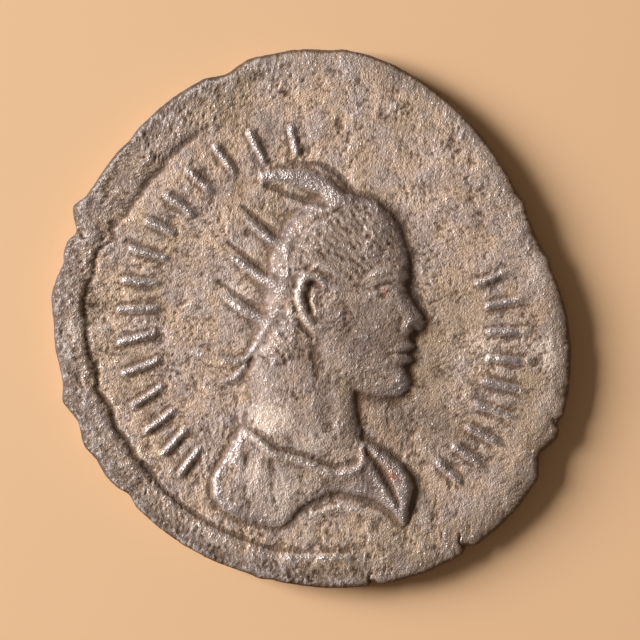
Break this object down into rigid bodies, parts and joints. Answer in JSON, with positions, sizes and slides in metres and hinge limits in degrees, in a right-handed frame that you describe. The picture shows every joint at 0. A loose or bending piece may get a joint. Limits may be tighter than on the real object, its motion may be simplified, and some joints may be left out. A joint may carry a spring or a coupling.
{
  "type": "coin",
  "caption": "Worn hand-struck silvered coin with a radiate bust on one face and a standing figure on the other.",
  "frame": {"origin": "below the middle of the coin's outline, on the surface that it lies on", "axes": "+Z out of the obverse, +Y towards the top of both designs, +X to the right as the obverse is seen"},
  "size_m": [0.0222, 0.023, 0.0017],
  "materials": {
    "coin": "matte"
  },
  "bodies": {
    "root": {"coin": "coin"}
  },
  "joints": []
}
